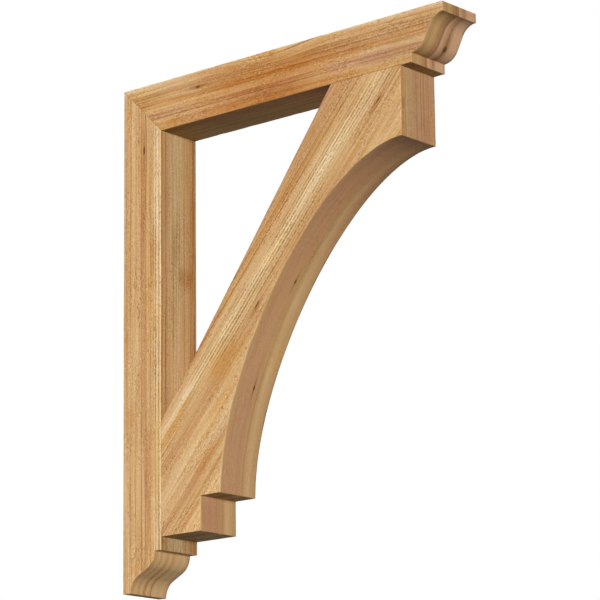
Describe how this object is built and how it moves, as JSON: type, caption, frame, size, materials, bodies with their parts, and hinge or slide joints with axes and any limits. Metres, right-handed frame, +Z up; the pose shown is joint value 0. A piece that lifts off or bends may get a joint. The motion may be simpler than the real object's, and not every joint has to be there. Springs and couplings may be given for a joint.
{
  "type": "wooden corbel bracket",
  "caption": "Open wooden corbel bracket: mitred back board and top board with ogee ends, joined by a curved brace, to carry an eave or shelf from a wall.",
  "frame": {"origin": "middle of the back board's flat wall face", "axes": "+Z up, +Y into the wall so the bracket reaches out towards -Y, X across the width"},
  "size_m": [0.0888, 0.7112, 0.889],
  "materials": {
    "back_board_wood": "rough-sawn side faces with fine upright grain, smoother front",
    "top_board_wood": "rough-sawn side faces with fine level grain, smooth cut nose",
    "brace_wood": "rough-sawn side faces with slanting grain, smooth cut curve"
  },
  "bodies": {
    "root": {"back_board": "back_board_wood", "top_board": "top_board_wood", "brace": "brace_wood"}
  },
  "joints": []
}
